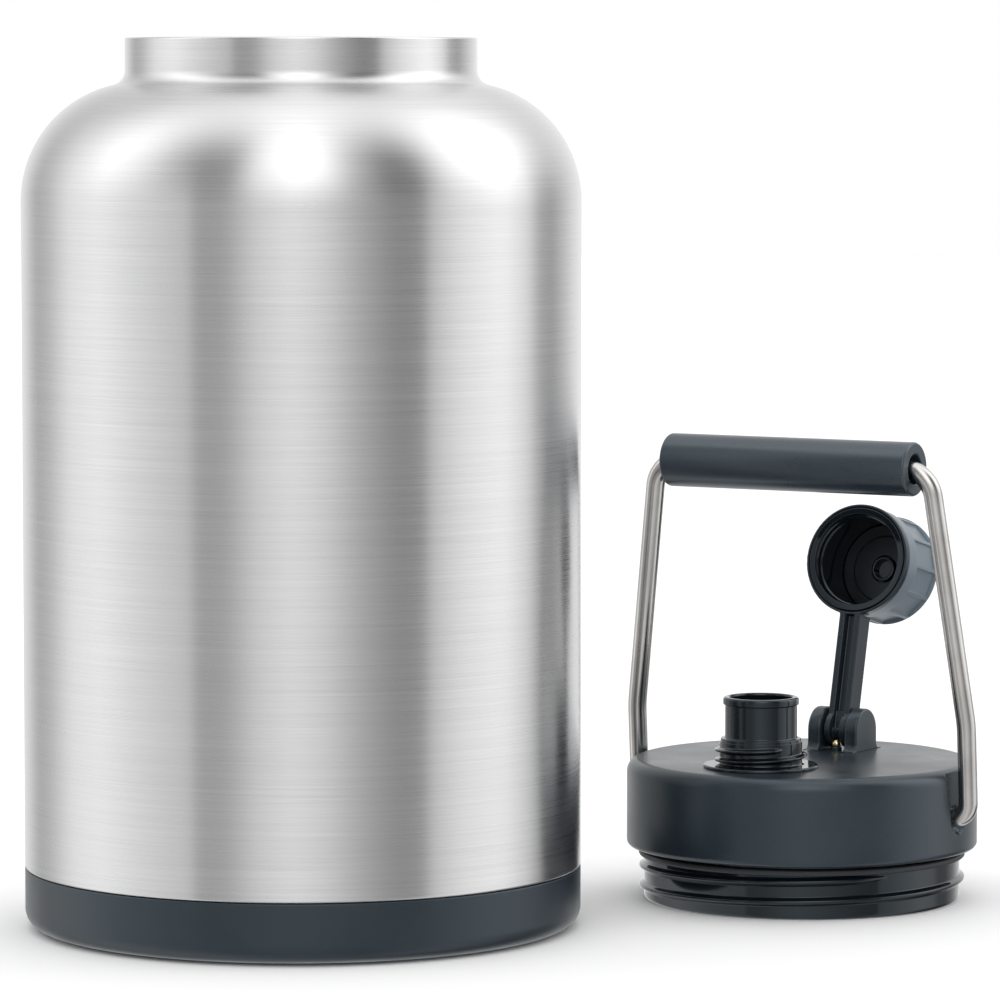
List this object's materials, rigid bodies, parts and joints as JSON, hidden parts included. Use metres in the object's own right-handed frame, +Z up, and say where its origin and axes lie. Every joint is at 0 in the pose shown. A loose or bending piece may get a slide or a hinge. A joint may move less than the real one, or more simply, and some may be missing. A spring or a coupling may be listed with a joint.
{
  "type": "water jug",
  "caption": "Insulated steel jug with wide threaded mouth and base cup, beside its screw-in lid with wire bail, tube grip, threaded spout and hinged spout cap.",
  "frame": {"origin": "centre of the jug's foot, on the surface that it stands on", "axes": "+Z up along the jug's axis; +X to the right and +Y to the back as the jug and lid are seen from the front"},
  "size_m": [0.2874, 0.1967, 0.263],
  "materials": {
    "brushed_outer_steel": "satin, brushed round the body",
    "inner_steel": "electropolished",
    "wire_steel": "satin drawn wire",
    "base_black": "fine grain, matte",
    "lid_black": "fine spark-eroded grain, matte",
    "gloss_black": "polished mould",
    "grip_black": "matte, soft touch",
    "cap_grey": "satin",
    "rubber_black": "matte",
    "silicone": "satin",
    "foam": "fine cell foam",
    "brass": "polished",
    "pin_steel": "ground"
  },
  "bodies": {
    "jug": {"outer_shell": "brushed_outer_steel", "inner_liner": "inner_steel", "vacuum_base_plate": "inner_steel", "vacuum_seal": "silicone", "getter": "pin_steel", "base_cup": "base_black", "base_pad": "rubber_black"},
    "lid_carrier": {"lid_gasket": "rubber_black"},
    "lid": {"lid_cap": "lid_black", "lid_plug": "gloss_black", "lid_foam": "foam", "spout": "gloss_black", "spout_gasket": "rubber_black", "hinge_pin": "pin_steel", "detent_ball": "brass", "detent_spring": "pin_steel"},
    "arm": {"cap_arm": "lid_black"},
    "spout_cap": {"spout_cap_shell": "cap_grey", "spout_cap_liner": "gloss_black", "spout_cap_seal": "silicone"},
    "bail": {"bail_wire": "wire_steel"},
    "grip": {"grip_tube": "grip_black"}
  },
  "joints": [
    {"name": "lid_lift", "type": "slide", "parent": "jug", "child": "lid_carrier", "axis": [0, 0, 1], "range_m": [0, 0.27]},
    {"name": "lid_turn", "type": "hinge", "parent": "lid_carrier", "child": "lid", "pos_m": [0.1512, 0.055, 0.0143], "axis": [0, 0, 1], "continuous": true},
    {"name": "bail_fold", "type": "hinge", "parent": "lid", "child": "bail", "pos_m": [0.1512, 0.055, 0.028], "axis": [0.8572, -0.515, 0], "range_deg": [-20, 26]},
    {"name": "grip_spin", "type": "hinge", "parent": "bail", "child": "grip", "pos_m": [0.14739, 0.04866, 0.13374], "axis": [0.8572, -0.515, 0], "continuous": true},
    {"name": "arm_swing", "type": "hinge", "parent": "lid", "child": "arm", "pos_m": [0.1649, 0.0778, 0.049], "axis": [0.8572, -0.515, 0], "range_deg": [0, 103.5]},
    {"name": "cap_spin", "type": "hinge", "parent": "arm", "child": "spout_cap", "pos_m": [0.1713, 0.08845, 0.10073], "axis": [0.5008, 0.8335, -0.2334], "range_deg": [0, 720]}
  ]
}
